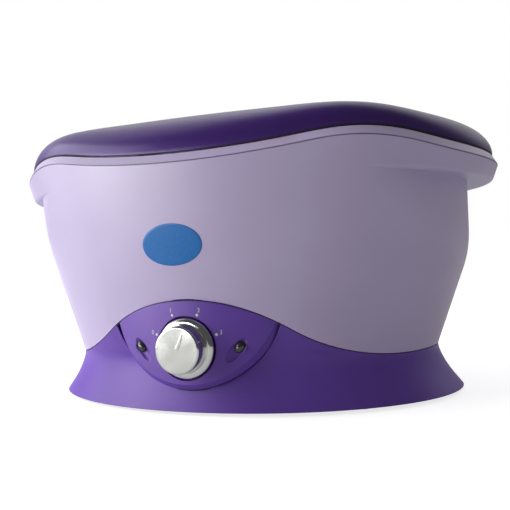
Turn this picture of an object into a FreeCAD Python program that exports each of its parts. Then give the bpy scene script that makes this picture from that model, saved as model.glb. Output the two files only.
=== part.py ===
import FreeCAD, Part
import math
import os

import Sketcher
from FreeCAD import Placement, Rotation, Vector

# Wax warmer pot: an oval paraffin bath with a wavy rim, a lift-off lid and a rotary heat control.
# Frame: +X along the length, -Y is the front with the knob, +Z up, origin on the table below the middle.

SIZES = {
    # Outer form: oval skirt, waist and leaning wall, all half widths of ellipses
    "foot_rise": 2.5,
    "base_half_length": 160.0,
    "base_half_depth": 128.4,
    "waist_height": 33.2,
    "waist_half_length": 142.5,
    "waist_half_depth": 123.2,
    "lean_length": 0.365,
    "lean_depth": 0.161,
    "flare_power": 1.55,
    "skin": 2.8,
    "seam_gap": 0.6,
    # Wave of the seam between the lavender body and the purple base
    "seam_crest": 74.0,
    "seam_low": 33.0,
    "seam_reach": 132.0,
    # Wave of the rim under the lid
    "rim_centre": 167.1,
    "rim_hump": 178.0,
    "rim_end": 168.2,
    "rim_hump_x": 116.0,
    "rim_end_x": 200.0,
    "rim_hump_radius": 142.0,
    "band_height": 5.5,
    "band_bevel": 3.4,
    # Finger recess under each end of the rim
    "lip_height": 152.0,
    "lip_round": 3.2,
    "recess_half_length": 167.9,
    "recess_radius": 155.1,
    "recess_bend": 119.0,
    "recess_foot": 85.0,
    "recess_blend": 97.0,
    "recess_ease": 75.0,
    # Lid
    "lid_crown": 35.2,
    "lid_skin": 2.6,
    "lid_gap": 0.4,
    "lid_shoulder": 2.5,
    "lid_round": 2.83,
    "lid_calm": 4.9,
    # Tank and the ledge it hangs from
    "ledge_height": 153.5,
    "ledge_thick": 3.0,
    "seal_thick": 1.0,
    "flange_thick": 1.5,
    "mouth_half_length": 157.0,
    "mouth_half_depth": 118.0,
    "tank_half_length": 136.0,
    "tank_half_depth": 98.0,
    "tank_floor": 66.0,
    "tank_wall": 1.5,
    "tank_corner": 14.0,
    # Control panel and knob
    "panel_half_width": 59.0,
    "panel_corner": 57.4,
    "panel_bottom": 17.0,
    "panel_front": 132.0,
    "panel_bow": 120.0,
    "panel_thick": 2.6,
    "panel_bevel": 3.4,
    "panel_back": 101.5,
    "seat_depth": 4.6,
    "seat_gap": 1.0,
    "seat_thick": 3.0,
    "knob_height": 43.7,
    "knob_radius": 19.7,
    "knob_sink": 2.4,
    "grip_radius": 15.1,
    "knob_length": 14.8,
    "shaft_radius": 3.0,
    "bush_radius": 4.5,
    "ear_x": 66.0,
    "ear_height": 47.0,
    "lamp_x": 35.0,
    "lamp_height": 44.2,
    "lamp_radius": 2.4,
    "lamp_length": 9.0,
    # Bottom plate and the ledge it bears on
    "plate_gap": 0.3,
    "plate_ledge": 4.5,
    "ledge_rise": 1.6,
    # Base fittings
    "floor_height": 5.0,
    "floor_thick": 2.5,
    "post_x": 106.0,
    "post_y": 58.0,
    "post_radius": 6.0,
    "post_top": 44.0,
    "head_seat": 17.0,
    "foot_x": 100.0,
    "foot_y": 78.0,
    "foot_radius": 9.0,
    "deck_screw_x": 88.0,
    "deck_screw_y": 118.0,
    "gland_height": 42.0,
    "gland_face": 122.6,
    "gland_bore": 3.6,
    "screw_radius": 1.9,
}

doc = FreeCAD.newDocument("WaxWarmerPot")
sheet = doc.addObject("Spreadsheet::Sheet", "Sizes")
for row, (alias, length) in enumerate(SIZES.items(), 1):
    sheet.set(f"A{row}", alias)
    sheet.set(f"B{row}", str(length))
    sheet.setAlias(f"B{row}", alias)
doc.recompute()


class Size:
    """A length that knows its number now and the sheet expression that drives it."""

    def __init__(self, text, number):
        self.text = text
        self.number = number

    def __add__(self, other):
        other = as_size(other)
        return Size(f"({self.text} + {other.text})", self.number + other.number)

    def __sub__(self, other):
        other = as_size(other)
        return Size(f"({self.text} - {other.text})", self.number - other.number)

    def __mul__(self, other):
        other = as_size(other)
        return Size(f"({self.text} * {other.text})", self.number * other.number)

    def __truediv__(self, other):
        other = as_size(other)
        return Size(f"({self.text} / {other.text})", self.number / other.number)

    def __pow__(self, other):
        other = as_size(other)
        return Size(f"({self.text} ^ {other.text})", self.number ** other.number)

    def __neg__(self):
        return Size(f"(0 - {self.text})", -self.number)

    __radd__ = __add__

    def __rsub__(self, other):
        return as_size(other) - self

    def __rmul__(self, other):
        return self * other


def as_size(value):
    return value if isinstance(value, Size) else Size(repr(float(value)), float(value))


def size(alias):
    return Size(f"Sizes.{alias}", float(sheet.get(alias)))


def number(value):
    return as_size(value).number


def bind(obj, prop, value):
    """Set a property now and keep it driven by the sheet."""
    obj.setExpression(prop, as_size(value).text)


def put(obj, at, turn=None):
    """Place an object, with each coordinate driven by the sheet."""
    obj.Placement = Placement(Vector(*[number(v) for v in at]), turn or Rotation())
    for axis, value in zip("xyz", at):
        if isinstance(value, Size):
            bind(obj, f"Placement.Base.{axis}", value)
    return obj


UPRIGHT = Rotation()
UPSIDE_DOWN = Rotation(Vector(1, 0, 0), 180)
HALF_TURN = Rotation(Vector(0, 0, 1), 180)
TO_FRONT = Rotation(Vector(1, 0, 0), 90)
TO_BACK = Rotation(Vector(1, 0, 0), -90)
TO_RIGHT = Rotation(Vector(0, 1, 0), 90)


def cylinder(name, radius, height, at, turn=UPRIGHT):
    obj = doc.addObject("Part::Cylinder", name)
    bind(obj, "Radius", radius)
    bind(obj, "Height", height)
    return put(obj, at, turn)


def box(name, length, width, height, corner, turn=UPRIGHT):
    obj = doc.addObject("Part::Box", name)
    bind(obj, "Length", length)
    bind(obj, "Width", width)
    bind(obj, "Height", height)
    return put(obj, corner, turn)


def centred_box(name, length, width, height, at):
    """A box centred on at in plan, standing on at's height."""
    x, y, z = at
    corner = (as_size(x) - as_size(length) / 2, as_size(y) - as_size(width) / 2, z)
    return box(name, length, width, height, corner)


def hexagon(name, circumradius, height, at, turn=UPRIGHT):
    obj = doc.addObject("Part::Prism", name)
    obj.Polygon = 6
    bind(obj, "Circumradius", circumradius)
    bind(obj, "Height", height)
    return put(obj, at, turn)


def ellipse(name, half_length, half_depth, height):
    obj = doc.addObject("Part::Ellipse", name)
    along_y = number(half_depth) > number(half_length)
    bind(obj, "MajorRadius", half_depth if along_y else half_length)
    bind(obj, "MinorRadius", half_length if along_y else half_depth)
    turn = Rotation(Vector(0, 0, 1), 90 if along_y else 0)
    return put(obj, (0, 0, height), turn)


def oval_loft(name, stations, ruled=False):
    """A solid through ellipses, each given as (half length, half depth, height)."""
    rings = [ellipse(f"{name}_ring", *station) for station in stations]
    obj = doc.addObject("Part::Loft", name)
    obj.Sections = rings
    obj.Solid = True
    obj.Ruled = ruled
    return obj


def oval_prism(name, half_length, half_depth, bottom, top):
    obj = doc.addObject("Part::Extrusion", name)
    obj.Base = ellipse(f"{name}_ring", half_length, half_depth, bottom)
    obj.DirMode = "Custom"
    obj.Dir = Vector(0, 0, 1)
    bind(obj, "LengthFwd", as_size(top) - as_size(bottom))
    obj.Solid = True
    return obj


def cut(name, base, *tools):
    obj = doc.addObject("Part::Cut", name)
    obj.Base = base
    obj.Tool = tools[0] if len(tools) == 1 else join(f"{name}_tools", *tools)
    obj.Refine = False
    return obj


def join(name, *shapes):
    obj = doc.addObject("Part::MultiFuse", name)
    obj.Shapes = list(shapes)
    obj.Refine = False
    return obj


def common(name, *shapes):
    obj = doc.addObject("Part::MultiCommon", name)
    obj.Shapes = list(shapes)
    obj.Refine = False
    return obj


def group(name, *shapes):
    """Separate solids that share one node."""
    obj = doc.addObject("Part::Compound", name)
    obj.Links = list(shapes)
    return obj


def rounded(name, base, edges, radius):
    """Fillet the edges that the test picks."""
    doc.recompute()
    obj = doc.addObject("Part::Fillet", name)
    obj.Base = base
    picked = [i for i, edge in enumerate(base.Shape.Edges, 1) if edges(edge)]
    obj.Edges = [(i, number(radius), number(radius)) for i in picked]
    return obj


def lies_at(height):
    """A test for edges that lie all in one level."""
    level = number(height)
    return lambda edge: edge.BoundBox.ZLength < 0.01 and abs(edge.BoundBox.ZMin - level) < 0.01


nodes = {}


def node(name, obj):
    """Name a finished sub-part: its label names its file."""
    obj.Label = name
    nodes[name] = obj
    return obj


# Sketch profiles


def bound_point(sketch, geo, end, label, x, y):
    """Fix one sketch point by two driven distances from the origin."""
    for kind, value in (("DistanceX", as_size(x)), ("DistanceY", as_size(y))):
        constraint = Sketcher.Constraint(kind, -1, 1, geo, end, value.number)
        index = sketch.addConstraint(constraint)
        name = f"{label}_{kind[-1].lower()}"
        sketch.renameConstraint(index, name)
        sketch.setExpression(f"Constraints.{name}", value.text)


def bound_radius(sketch, geo, label, value):
    index = sketch.addConstraint(Sketcher.Constraint("Radius", geo, number(value)))
    sketch.renameConstraint(index, label)
    sketch.setExpression(f"Constraints.{label}", as_size(value).text)


def arc_radius(start, end):
    """Radius of the arc from start to end, from its chord and its sagitta."""
    run = as_size(end[0]) - start[0]
    rise = as_size(end[1]) - start[1]
    sagitta = as_size(start[2])
    if sagitta.number < 0:
        sagitta = -sagitta
    return (run ** 2 + rise ** 2 + 4 * sagitta ** 2) / (8 * sagitta)


def outline(sketch, points):
    """Close a polygon through driven points; a third entry on a point bulges the side that follows it.

    The bulge is the arc's sagitta, positive to the left of the side's direction.
    """
    count = len(points)
    places = [Vector(number(p[0]), number(p[1]), 0) for p in points]
    for i, point in enumerate(points):
        start, end = places[i], places[(i + 1) % count]
        if len(point) == 2:
            sketch.addGeometry(Part.LineSegment(start, end), False)
            continue
        side = end - start
        normal = Vector(-side.y, side.x, 0).normalize()
        middle = (start + end) * 0.5 + normal * number(point[2])
        sketch.addGeometry(Part.Arc(start, middle, end), False)
    ends = [line_ends(sketch, i, places[i]) for i in range(count)]
    for i, point in enumerate(points):
        before = (i - 1) % count
        sketch.addConstraint(Sketcher.Constraint("Coincident", before, ends[before][1], i, ends[i][0]))
        bound_point(sketch, i, ends[i][0], f"point{i}", point[0], point[1])
    for i, point in enumerate(points):
        if len(point) == 3:
            bound_radius(sketch, i, f"radius{i}", arc_radius(point, points[(i + 1) % count]))


def line_ends(sketch, geo, start):
    """Which end number of a side is its start: arcs always run anticlockwise."""
    first = sketch.getPoint(geo, 1)
    return (1, 2) if (first - start).Length < 1e-6 else (2, 1)


def body_sketch(body, name, plane):
    sketch = body.newObject("Sketcher::SketchObject", name)
    origin = [f for f in body.Origin.OriginFeatures if f.Role == plane][0]
    sketch.AttachmentSupport = (origin, [""])
    sketch.MapMode = "FlatFace"
    return sketch


def turned_body(name, points, at=(0, 0, 0), turn=UPRIGHT, angle=360):
    """A body of revolution about its own Z axis, even to both sides of X; points are (radius, height)."""
    body = doc.addObject("PartDesign::Body", name)
    sketch = body_sketch(body, f"{name}_profile", "XZ_Plane")
    outline(sketch, points)
    spin = body.newObject("PartDesign::Revolution", f"{name}_turn")
    spin.Profile = sketch
    spin.ReferenceAxis = (sketch, ["V_Axis"])
    spin.Angle = angle
    spin.Midplane = angle < 360
    body.Tip = spin
    return put(body, at, turn)


def front_prism(name, points, near, far):
    """A prism with a front-view outline of (x, height) points, from y = -near to y = -far."""
    sketch = doc.addObject("Sketcher::SketchObject", f"{name}_profile")
    outline(sketch, points)
    put(sketch, (0, -as_size(near), 0), TO_FRONT)
    obj = doc.addObject("Part::Extrusion", name)
    obj.Base = sketch
    obj.DirMode = "Custom"
    obj.Dir = Vector(0, 1, 0)
    bind(obj, "LengthFwd", as_size(near) - as_size(far))
    obj.Solid = True
    return obj


# The two waves: arcs that meet in tangents, mirrored about the middle


def seam_arcs():
    """Crest in the middle, low points at each side, with equal radii."""
    rise = size("seam_crest") - size("seam_low")
    radius = (size("seam_reach") ** 2 + rise ** 2) / (4 * rise)
    return [
        (Size("0", 0), size("seam_crest"), radius, -1),
        (size("seam_reach"), size("seam_low"), radius, 1),
    ]


def rim_arcs():
    """Dip in the middle, a hump at each shoulder, and a level run to each end."""
    hump = size("rim_hump_radius")
    inner_rise = size("rim_hump") - size("rim_centre")
    outer_rise = size("rim_hump") - size("rim_end")
    outer_run = size("rim_end_x") - size("rim_hump_x")
    inner_sum = (size("rim_hump_x") ** 2 + inner_rise ** 2) / (2 * inner_rise)
    outer_sum = (outer_run ** 2 + outer_rise ** 2) / (2 * outer_rise)
    return [
        (Size("0", 0), size("rim_centre"), inner_sum - hump, 1),
        (size("rim_hump_x"), size("rim_hump"), hump, -1),
        (size("rim_end_x"), size("rim_end"), outer_sum - hump, 1),
    ]


def wave_height(arcs, x):
    """Height of a wave at x, from its arcs."""
    x = abs(x)
    centres = [(a[0].number, a[1].number + a[3] * a[2].number, a[2].number, a[3]) for a in arcs]
    for this, after in zip(centres, centres[1:] + [None]):
        if after is None:
            break
        share = this[2] / (this[2] + after[2])
        if x <= this[0] + (after[0] - this[0]) * share:
            break
    cx, cz, radius, side = this
    return cz - side * math.sqrt(radius ** 2 - (x - cx) ** 2)


def wave_block(name, arcs, half_width, shift=0.0, bottom=-20.0, depth=400.0):
    """Everything under a wave, moved up by shift: a front-view sketch of tangent arcs, run along Y."""
    sketch = doc.addObject("Sketcher::SketchObject", f"{name}_profile")
    put(sketch, (0, 0, shift), TO_FRONT)
    middles = [(a[0].number, a[1].number + a[3] * a[2].number) for a in arcs]
    radii = [a[2].number for a in arcs]
    joints = []
    for k in range(len(arcs) - 1):
        share = radii[k] / (radii[k] + radii[k + 1])
        joints.append([middles[k][i] + (middles[k + 1][i] - middles[k][i]) * share for i in (0, 1)])
    last_x, last_z = half_width, wave_height(arcs, half_width)
    right = [*joints, (last_x, last_z)]
    left = [(-x, z) for x, z in right]

    def arc(k, mirror, start, end):
        """Arc k from start to end, left to right along the wave."""
        centre = Vector(mirror * middles[k][0], middles[k][1], 0)
        circle = Part.Circle(centre, Vector(0, 0, 1), radii[k])
        angles = [math.atan2(z - centre.y, x - centre.x) for x, z in (start, end)]
        if arcs[k][3] < 0:
            angles.reverse()
        return sketch.addGeometry(Part.ArcOfCircle(circle, *angles), False), arcs[k][3]

    chain = [arc(k, -1, left[k], left[k - 1]) for k in range(len(arcs) - 1, 0, -1)]
    middle = arc(0, 1, left[0], right[0])
    chain.append(middle)
    chain += [arc(k, 1, right[k - 1], right[k]) for k in range(1, len(arcs))]

    def start_of(item):
        return 1 if item[1] > 0 else 2

    def end_of(item):
        return 2 if item[1] > 0 else 1

    for before, after in zip(chain, chain[1:]):
        meeting = (before[0], end_of(before), after[0], start_of(after))
        sketch.addConstraint(Sketcher.Constraint("Tangent", *meeting))
    bound_point(sketch, middle[0], 3, "middle", 0, arcs[0][1] + arcs[0][3] * arcs[0][2])
    for k in range(1, len(arcs)):
        right_arc = chain[len(arcs) - 1 + k][0]
        left_arc = chain[len(arcs) - 1 - k][0]
        bound_point(sketch, right_arc, 3, f"centre{k}", arcs[k][0], arcs[k][1] + arcs[k][3] * arcs[k][2])
        sketch.addConstraint(Sketcher.Constraint("Symmetric", left_arc, 3, right_arc, 3, -2))
    bound_radius(sketch, middle[0], "middle_radius", arcs[0][2])
    corners = [(last_x, last_z), (last_x, bottom), (-last_x, bottom), (-last_x, last_z)]
    walls = []
    for (x0, z0), (x1, z1) in zip(corners, corners[1:]):
        walls.append(sketch.addGeometry(Part.LineSegment(Vector(x0, z0, 0), Vector(x1, z1, 0)), False))
    sketch.addConstraint(Sketcher.Constraint("Coincident", chain[-1][0], end_of(chain[-1]), walls[0], 1))
    sketch.addConstraint(Sketcher.Constraint("Coincident", walls[0], 2, walls[1], 1))
    sketch.addConstraint(Sketcher.Constraint("Coincident", walls[1], 2, walls[2], 1))
    sketch.addConstraint(Sketcher.Constraint("Coincident", walls[2], 2, chain[0][0], start_of(chain[0])))
    bound_point(sketch, walls[1], 1, "right_foot", last_x, bottom)
    bound_point(sketch, walls[1], 2, "left_foot", -last_x, bottom)
    sketch.addConstraint(Sketcher.Constraint("Vertical", walls[0]))
    sketch.addConstraint(Sketcher.Constraint("Vertical", walls[2]))
    obj = doc.addObject("Part::Extrusion", name)
    obj.Base = sketch
    obj.DirMode = "Custom"
    obj.Dir = Vector(0, 1, 0)
    obj.LengthFwd = depth
    obj.Symmetric = True
    obj.Solid = True
    return obj


# Outer form


def wall_length(height, inset=0.0):
    """Half length of the leaning wall at a height."""
    return size("waist_half_length") + size("lean_length") * (as_size(height) - size("waist_height")) - inset


def wall_depth(height, inset=0.0):
    """Half depth of the leaning wall at a height."""
    return size("waist_half_depth") + size("lean_depth") * (as_size(height) - size("waist_height")) - inset


def wall_station(height, inset=0.0):
    return wall_length(height, inset), wall_depth(height, inset), as_size(height)


def flare_station(height, inset=0.0):
    """The skirt spreads from the waist to the base along a power curve."""
    drop = (size("waist_height") - height) / (size("waist_height") - size("foot_rise"))
    spread = drop ** size("flare_power")
    length = size("waist_half_length") + (size("base_half_length") - size("waist_half_length")) * spread
    depth = size("waist_half_depth") + (size("base_half_depth") - size("waist_half_depth")) * spread
    return length - inset, depth - inset, as_size(height)


SEAM_HALF_WIDTH = 172.0
PAST_FRONT = 150.0
PANEL_GAP = 0.4
WALL_BOTTOM = 20.0
WALL_TOP = 192.0
SKIRT_HEIGHTS = (10.0, 17.5, 25.0, 32.5)
SKIRT_TOP = 40.0
ARCH_TOP = 82.0


def wall_form(name, inset=0.0):
    return oval_loft(name, [wall_station(z, inset) for z in (WALL_BOTTOM, WALL_TOP)], ruled=True)


def base_form(name, wall, inset=0.0):
    """Flared skirt up to just over the waist, then the leaning wall."""
    stations = [flare_station(size("foot_rise"), inset)]
    stations += [flare_station(z, inset) for z in SKIRT_HEIGHTS]
    stations.append(wall_station(SKIRT_TOP, inset))
    skirt = oval_loft(f"{name}_skirt", stations)
    arch = common(f"{name}_arch", wall, slab(f"{name}_slab", SKIRT_TOP, ARCH_TOP))
    return join(name, skirt, arch)


def slab(name, bottom, top):
    """A level slice wider than the whole pot."""
    return box(name, 440, 340, as_size(top) - as_size(bottom), (-220, -170, bottom))


def recess_void(name, side, inset, top):
    """What is taken away under one handle lip: outside an upright round wall that bends in at its foot."""
    radius = size("recess_radius") - inset
    blend = size("recess_blend") - inset
    bend = size("recess_bend")
    fall = bend - size("recess_foot")
    back = blend - (blend ** 2 - fall ** 2) ** 0.5
    sagitta = blend - (blend ** 2 - (fall ** 2 + back ** 2) / 4) ** 0.5
    far = size("recess_radius") + 90
    middle = side * (size("recess_half_length") - size("recess_radius"))
    return turned_body(name, [
        (radius, top), (radius, bend, sagitta), (radius - back, bend - fall), (far, bend - fall), (far, top),
    ], (middle, 0, 0), UPRIGHT if side > 0 else HALF_TURN, 180)


def borders_recess(edge):
    """A test for the slanting edges where a recess runs out into the wall."""
    middle = edge.valueAt((edge.FirstParameter + edge.LastParameter) / 2)
    radius = number(size("recess_radius"))
    blend = number(size("recess_blend"))
    axis = number(size("recess_half_length")) - radius
    fall = min(max(number(size("recess_bend")) - middle.z, 0.0), blend)
    reach = radius - blend + math.sqrt(blend ** 2 - fall ** 2)
    return edge.BoundBox.ZLength > 1 and abs(math.hypot(abs(middle.x) - axis, middle.y) - reach) < 0.1


def corners(x, y):
    """The four mirrored places of a fitting."""
    return [(sx * as_size(x), sy * as_size(y)) for sx in (1, -1) for sy in (1, -1)]


def build_body_shell(wall, inner_wall, middle_wall):
    """Lavender tub wall with drawn-in finger recesses, a ledge for the tank and four screw bosses."""
    lip = size("lip_height")
    skin = size("skin")
    overlap = 4.0
    seam_cut = wave_block("body_seam", seam_arcs(), 155.0, size("seam_gap"))
    rim_cut = wave_block("body_rim", rim_arcs(), 204.0, -(size("band_height") + size("seam_gap")))
    low = common("wall_low", wall, slab("below_lip", WALL_BOTTOM - 4, lip + overlap))
    voids = [recess_void("recess", side, 0.0, lip + 2 * overlap) for side in (1, -1)]
    recessed = cut("wall_below_lip", low, seam_cut, *voids)
    below = rounded("wall_eased", recessed, borders_recess, size("recess_ease"))
    under_rim = common("wall_under_rim", wall, rim_cut)
    collar = common("lip_block", under_rim, slab("above_lip", lip, WALL_TOP + 4))
    collar = rounded("lip_rounded", collar, lies_at(lip), size("lip_round"))
    inner_low = common("inside_low", inner_wall, slab("inside_below_lip", WALL_BOTTOM - 4, lip + skin + 0.5))
    inner_voids = [recess_void("recess_inside", side, skin, lip + 2 * overlap) for side in (1, -1)]
    inner_below = cut("inside_below", inner_low, group("recess_inside_pair", *inner_voids))
    inner_above = common("inside_above_lip", inner_wall, slab("above_lip_inside", lip + skin, WALL_TOP + 4))
    outside = join("body_outside", below, collar)
    shell = cut("body_wall", outside, inner_above, inner_below)
    ledge_top = size("ledge_height") + size("ledge_thick")
    ledge_bottom = size("ledge_height")
    ledge_rim = wall_station(ledge_bottom, skin * 0.43)
    ledge = cut(
        "tank_ledge",
        oval_prism("ledge_outside", ledge_rim[0], ledge_rim[1], ledge_bottom, ledge_top),
        oval_prism("ledge_inside", size("mouth_half_length") + 6, size("mouth_half_depth") + 6,
                   ledge_bottom - 1, ledge_top + 1),
    )
    boss_bottom = size("post_top") + 0.2
    boss_height = 16.0
    bosses = []
    bores = []
    for x, y in corners(size("post_x"), size("post_y")):
        bosses.append(cylinder("body_boss", size("post_radius"), boss_height, (x, y, boss_bottom)))
        turn = Rotation(Vector(0, 0, 1), math.degrees(math.atan2(y.number, x.number)))
        aside = turn.multVec(Vector(0, -1.5, 0))
        bosses.append(box("boss_rib", 26, 3, boss_height, (x + aside.x, y + aside.y, boss_bottom), turn))
        bores.append(cylinder("boss_bore", size("screw_radius") + 0.1, boss_height - 3, (x, y, boss_bottom)))
    for x, y in corners(size("deck_screw_x"), size("deck_screw_y")):
        bores.append(cylinder("ledge_bore", 1.7, 10, (x, y, size("ledge_height") - 3)))
    held = common("bosses_in_wall", join("body_bosses", *bosses), middle_wall)
    whole = join("body_joined", shell, ledge, held)
    node("body_shell", cut("body_bored", whole, group("body_bores", *bores)))


def build_base(wall, inner_wall, middle_wall):
    """Purple skirt, open at the front for the panel, with a ledge inside for the bottom plate."""
    skin = size("skin")
    outside = base_form("base_outside", wall)
    inside = base_form("base_inside", inner_wall, skin)
    seam = wave_block("base_seam", seam_arcs(), SEAM_HALF_WIDTH)
    shell = common("base_trimmed", cut("base_walls", outside, inside), seam)
    floor_top = size("floor_height") + size("floor_thick")
    ledge_top = floor_top + size("ledge_rise")
    rim = flare_station(ledge_top, skin / 3)
    mouth = flare_station(floor_top, skin + size("plate_ledge"))
    ledge = cut("plate_ledge", oval_prism("ledge_block", rim[0], rim[1], floor_top, ledge_top),
                oval_prism("ledge_mouth", mouth[0], mouth[1], floor_top - 1, ledge_top + 1))
    opening = front_prism("panel_opening", eye_points(PANEL_GAP), PAST_FRONT, 90)
    front = cut("base_opened", join("base_ledged", shell, ledge), opening)
    height = size("gland_height")
    pad = common("gland_pad", box("gland_block", 28, 30, 24, (-14, 111, height - 12)), middle_wall)
    seat = cylinder("gland_seat", 10.0, 20, (0, size("gland_face"), height), TO_BACK)
    hole = cylinder("gland_hole", 7.0, 60, (0, 90, height), TO_BACK)
    back = cut("base_seated", join("base_padded", front, pad), join("gland_bores", seat, hole))
    boss_y = -size("panel_back") - 2.7
    bosses = []
    bores = []
    for side in (1, -1):
        at = (side * size("ear_x"), boss_y, size("ear_height"))
        bosses.append(cylinder("panel_boss", 4.0, 12, at, TO_FRONT))
        bores.append(cylinder("panel_boss_bore", 1.4, 4, at, TO_FRONT))
    in_wall = common("panel_bosses_in_wall", join("panel_boss_pair", *bosses), middle_wall)
    node("base_skirt", join("base_joined", back, cut("panel_bosses", in_wall, *bores)))


def build_bottom_plate():
    """Flat floor with vent slots, holes for the feet and four screw posts."""
    bottom = size("floor_height")
    top = bottom + size("floor_thick")
    rim = flare_station(top, size("skin") + size("plate_gap"))
    plate = oval_prism("floor_plate", rim[0], rim[1], bottom, top)
    posts = []
    bores = []
    for x, y in corners(size("post_x"), size("post_y")):
        posts.append(cylinder("base_post", size("post_radius"), size("post_top") - bottom, (x, y, bottom)))
        bores.append(cylinder("post_bore", size("screw_radius") + 0.2, size("post_top"), (x, y, 3)))
        bores.append(cylinder("head_bore", 4.2, size("head_seat") - 3, (x, y, 3)))
    for x, y in corners(size("foot_x"), size("foot_y")):
        bores.append(cylinder("foot_hole", 3.0, 20, (x, y, 0)))
    vents = [centred_box("vent_slot", 34, 4, 20, (46 * column, 13 * row, 0))
             for row in range(-3, 3) for column in (-1, 0, 1)]
    posted = join("floor_posts", plate, *posts)
    node("bottom_plate", cut("floor_bored", posted, join("floor_bores", *bores), *vents))


def eye_points(grow):
    """Panel outline: one round arc below, and straight sides that run up past the seam that trims the top."""
    half = size("panel_half_width") + grow
    corner = size("panel_corner")
    bottom = size("panel_bottom") - grow
    top = size("seam_crest") + 12
    return [(-half, corner, bottom - corner), (half, corner), (half, top), (-half, top)]


# Rim ring and lid: closed wires that ride the rim wave

WIRE_POINTS = 32


def closed_curve(points):
    curve = Part.BSplineCurve()
    curve.interpolate(points, True)
    return Part.Wire(curve.toShape())


def rim_points(inset, rise):
    """Points round the rim, inset from the wall and raised from the rim wave."""
    arcs = rim_arcs()
    points = []
    for k in range(WIRE_POINTS):
        angle = 2 * math.pi * k / WIRE_POINTS + math.pi / 2
        x = number(size("rim_hump_x")) * math.cos(angle)
        for _ in range(5):
            height = wave_height(arcs, x)
            foot = height - number(size("band_height"))
            x = (number(wall_length(foot)) - number(inset)) * math.cos(angle)
        y = (number(wall_depth(foot)) - number(inset)) * math.sin(angle)
        points.append(Vector(x, y, height + number(rise)))
    return points


def oval_points(half_length, half_depth, height):
    points = []
    for k in range(WIRE_POINTS):
        angle = 2 * math.pi * k / WIRE_POINTS + math.pi / 2
        points.append(Vector(number(half_length) * math.cos(angle), number(half_depth) * math.sin(angle),
                             number(height)))
    return points


def sewn_solid(faces):
    shell = Part.makeShell(faces)
    shell.sewShape()
    solid = Part.makeSolid(shell)
    if solid.Volume < 0:
        solid.reverse()
    return solid


def ring_solid(loops):
    """A closed ring whose section is the polygon of the given loops of points."""
    wires = [closed_curve(points) for points in loops]
    bands = [Part.makeRuledSurface(a, b) for a, b in zip(wires, wires[1:] + wires[:1])]
    return sewn_solid([face for band in bands for face in band.Faces])


def feature(name, shape):
    obj = doc.addObject("Part::Feature", name)
    obj.Shape = shape
    return obj


def flange_top():
    return size("ledge_height") + size("ledge_thick") + size("seal_thick") + size("flange_thick")


def build_rim_ring():
    """Lavender rim: a bevelled wavy band, a stepped land for the lid and a deck that falls to the mouth."""
    bevel = size("band_bevel")
    band = size("band_height")
    land = 3.6
    step = 3.6
    mouth_length = size("mouth_half_length") + 3.5
    mouth_depth = size("mouth_half_depth") + 3.0
    skirt_bottom = flange_top() + size("seal_thick")
    deck = size("rim_centre") - step
    loops = [
        rim_points(bevel, 0),
        rim_points(0, -band),
        rim_points(size("skin") + 0.4, -band),
        rim_points(size("skin") + 2.6, -band - 5),
        rim_points(size("skin") + 4.4, -band - 5),
        rim_points(bevel + land + 0.6, -step - 2.8),
        oval_points(mouth_length + 3, mouth_depth + 3, deck - 2.8),
        oval_points(mouth_length + 3, mouth_depth + 3, skirt_bottom),
        oval_points(mouth_length, mouth_depth, skirt_bottom),
        oval_points(mouth_length, mouth_depth, deck),
        rim_points(bevel + land + 0.2, -step),
        rim_points(bevel + land, 0),
    ]
    ring = feature("rim_section", ring_solid(loops))
    foot = size("ledge_height") + size("ledge_thick") + 0.1
    bosses = []
    bores = []
    for x, y in corners(size("deck_screw_x"), size("deck_screw_y")):
        bosses.append(cylinder("deck_boss", 3.6, 13.5, (x, y, foot)))
        bores.append(cylinder("deck_bore", 1.6, 10, (x, y, foot)))
    node("rim_ring", cut("rim_bored", join("rim_bossed", ring, *bosses), group("deck_bores", *bores)))


def build_lid():
    """Domed lid whose wavy edge flattens out towards the crown, with a locating rib inside."""
    gap = size("lid_gap")
    skin = size("lid_skin")
    edge_inset = size("band_bevel") + 0.4
    rib_inset = size("band_bevel") + 4.2
    level = 0.5 * (number(size("rim_centre")) + number(size("rim_hump"))) - 1.0
    shares = (1.0, 0.994, 0.965, 0.89, 0.72, 0.44, 0.1)

    def dome(inset, height):
        """Wires from the wavy edge to a small level ring at the crown."""
        edge = rim_points(inset, gap)
        wires = []
        for share in shares:
            arch = (1 - share ** number(size("lid_shoulder"))) ** (1 / number(size("lid_round")))
            wave = share ** number(size("lid_calm")) if share > shares[-1] else 0.0
            lift = number(height) * arch
            wires.append(closed_curve([
                Vector(p.x * share, p.y * share, level + (p.z - level) * wave + lift) for p in edge
            ]))
        return wires

    outer = dome(edge_inset, size("lid_crown"))
    inner = dome(edge_inset + skin, size("lid_crown") - skin)
    faces = Part.makeRuledSurface(outer[0], inner[0]).Faces
    for wires in (outer, inner):
        faces += Part.makeLoft(wires, False, False).Faces
        faces.append(Part.Face(wires[-1]))
    shell = feature("lid_dome", sewn_solid(faces))
    rib = feature("lid_rib", ring_solid([
        rim_points(rib_inset, -2.8), rim_points(rib_inset, 10.2),
        rim_points(rib_inset + 2, 13.0), rim_points(rib_inset + 2, -2.8),
    ]))
    node("lid", join("lid_joined", shell, rib))


# Tank and heating


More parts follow.
